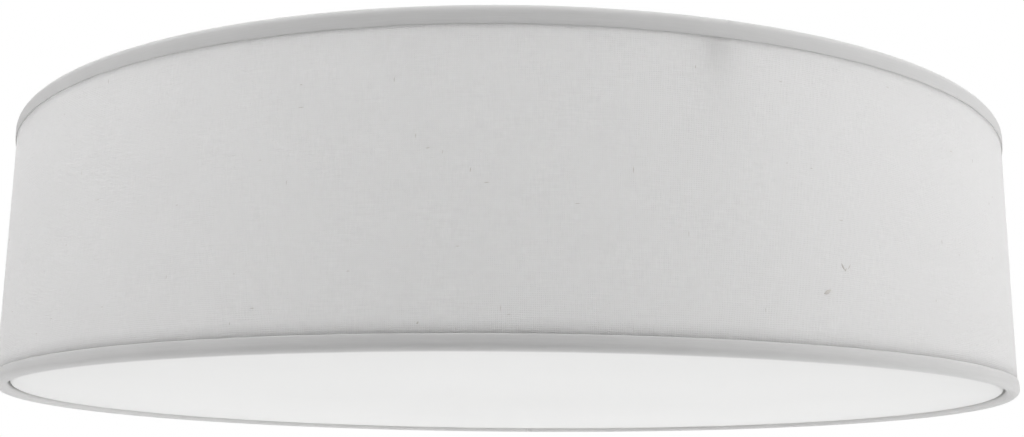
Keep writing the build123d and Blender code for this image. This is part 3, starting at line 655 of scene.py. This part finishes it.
# ---- threads ----
def threaded(name, body, slot, node, turn, outer, inner, ends, pitch, depth, plain, follow):
    """Tube with a rolled thread on it.  turn takes its own Z axis into place, ends are its two heights,
    plain is how far the thread stays off each of them, and with follow its inside carries the thread too."""
    columns = 64
    rows_per_pitch = 10
    start, stop = ends
    rows = round((stop - start) / pitch * rows_per_pitch)

    def groove(angle, z):
        room = min(z - start - plain[0], stop - plain[1] - z)
        fade = min(1.0, max(0.0, room / (0.6 * pitch)))
        return depth * fade * (0.5 - 0.5 * cos(tau * z / pitch - angle))

    heights = [start + (stop - start) * row / rows for row in range(rows + 1)]
    sections = []
    for column in range(columns):
        angle = tau * column / columns
        outside = [upright(angle, outer - groove(angle, z), z) for z in heights]
        inside = [upright(angle, inner - follow * groove(angle, z), z) for z in reversed(heights)]
        sections.append([turn @ point for point in outside + inside])
    v_marks = lengths([(outer, z) for z in heights] + [(inner, z) for z in reversed(heights)])
    u_marks = [outer * tau * column / columns for column in range(columns + 1)]
    points, faces, uvs = grid(sections, u_marks, v_marks, True)
    piece = new_piece(name, body, slot, points, faces, uvs)
    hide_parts(node)
    return piece


def lamp_turn(node, angle):
    """Takes a local Z axis out along a lamp, with its origin in the middle of a round piece of it."""
    return Matrix.Translation(middle(node)) @ Matrix.Rotation(angle, 4, "Z") @ Matrix.Rotation(pi / 2, 4, "Y")


def round_size(node, angle):
    """Radius and length of a round piece that lies along a lamp."""
    size = high(node) - low(node)
    radius = size.z / 2
    return radius, (size.x - 2 * radius * abs(sin(angle))) / abs(cos(angle))


rod_pitch = 1.0 * MM
rod_bore = 3.5 * MM
threaded("rod_thread", "fixture", "zinc_steel", "centre_rod", Matrix.Identity(4), high("centre_rod").x, rod_bore,
         (low("centre_rod").z, high("centre_rod").z), rod_pitch, 0.55 * MM, (0, 0), 0)

screw_cap_pitch = 3.62 * MM
for number, angle in zip(arm_numbers, lamp_angles):
    cap, shell = f"bulb_cap_{number}", f"holder_shell_{number}"
    radius, length = round_size(cap, angle)
    threaded(f"threaded_cap_{number}", f"bulb_{number}", "cap_metal", cap, lamp_turn(cap, angle), radius,
             radius - 0.4 * MM, (-length / 2, length / 2), screw_cap_pitch, 1.0 * MM, (0.2 * MM, 3.5 * MM), 1)
    radius, length = round_size(shell, angle)
    threaded(f"threaded_shell_{number}", "fixture", "tinned_metal", shell, lamp_turn(shell, angle), radius,
             radius - 0.2 * MM, (-length / 2, length / 2), screw_cap_pitch, 0.4 * MM, (1 * MM, 1 * MM), 1)


# ---- studio ----
fill_colour = (0.97, 0.98, 1.0)                # light from all round, on surfaces only
fill_level = 0.2
floor_glow = 0.65                              # share of the looked-at floor that is plain white


def looked_at(tree):
    """1 for a ray from the camera, off a mirror or through glass, and 0 for one that only carries light."""
    path = tree.nodes.new("ShaderNodeLightPath")
    seen = path.outputs["Is Camera Ray"]
    for ray in ("Is Glossy Ray", "Is Transmission Ray"):
        either = tree.nodes.new("ShaderNodeMath")
        either.operation = "MAXIMUM"
        tree.links.new(seen, either.inputs[0])
        tree.links.new(path.outputs[ray], either.inputs[1])
        seen = either.outputs[0]
    return seen


def white_world():
    """White behind the object and in reflections, with a plain soft light on its surfaces."""
    world = bpy.data.worlds.new("studio")
    world.use_nodes = True
    tree = world.node_tree
    tree.nodes.clear()
    seen = looked_at(tree)
    shaders = []
    for colour, strength in ((fill_colour, fill_level), ((1, 1, 1), 1.0)):
        shader = tree.nodes.new("ShaderNodeBackground")
        shader.inputs["Color"].default_value = (*colour, 1)
        shader.inputs["Strength"].default_value = strength
        shaders.append(shader)
    blend = tree.nodes.new("ShaderNodeMixShader")
    tree.links.new(seen, blend.inputs[0])
    for shader, socket in zip(shaders, list(blend.inputs)[1:]):
        tree.links.new(shader.outputs[0], socket)
    output = tree.nodes.new("ShaderNodeOutputWorld")
    tree.links.new(blend.outputs[0], output.inputs["Surface"])
    bpy.context.scene.world = world


def softbox(name, place, size, level):
    """Square lamp that faces the middle of the shade, where it makes white card that faces it as bright
    as level."""
    data = bpy.data.lights.new(name, "AREA")
    data.size = size
    data.energy = level * (pi * Vector(place).length) ** 2
    lamp = bpy.data.objects.new(name, data)
    target = Vector((0, 0, (shade_top + shade_bottom) / 2))
    lamp.location = place
    lamp.rotation_euler = (target - Vector(place)).to_track_quat("-Z", "Y").to_euler()
    bpy.context.scene.collection.objects.link(lamp)


def studio_floor(height, half):
    """Plain pale floor far below the light. Where it is looked at it is partly white of its own, so it
    stays pale, and the rest takes light and keeps the shadow."""
    mesh = bpy.data.meshes.new("floor")
    mesh.from_pydata([(-half, -half, height), (half, -half, height), (half, half, height), (-half, half, height)],
                     [], [(0, 1, 2, 3)])
    finish = Finish("floor", (0.86, 0.86, 0.86), 0.9)
    finish.tint(finish.noise(finish.place(), 1.5, 2), 0.985, 1.01)
    pale = finish.add("Emission")
    blend = finish.add("MixShader")
    finish.feed(blend.inputs[0], finish.math("MULTIPLY", looked_at(finish.tree), floor_glow))
    finish.feed(blend.inputs[1], finish.shader.outputs[0])
    finish.feed(blend.inputs[2], pale.outputs[0])
    finish.feed(finish.tree.nodes["Material Output"].inputs["Surface"], blend.outputs[0])
    mesh.materials.append(finish.material)
    plane = bpy.data.objects.new("floor", mesh)
    bpy.context.scene.collection.objects.link(plane)


white_world()
studio_floor(-2.4, 8)
softbox("right_light", (2.6, -0.5, -0.3), 1.6, 0.66)
softbox("left_light", (-2.6, -0.5, -0.3), 1.6, 0.43)
softbox("front_light", (0, -1.8, 2.2), 1.8, 0.47)
softbox("low_light", (0, 0.7, -2.1), 2.0, 0.52)
softbox("top_light", (0, 0, 2.2), 2.2, 0.6)

bpy.context.scene.view_settings.view_transform = "Standard"
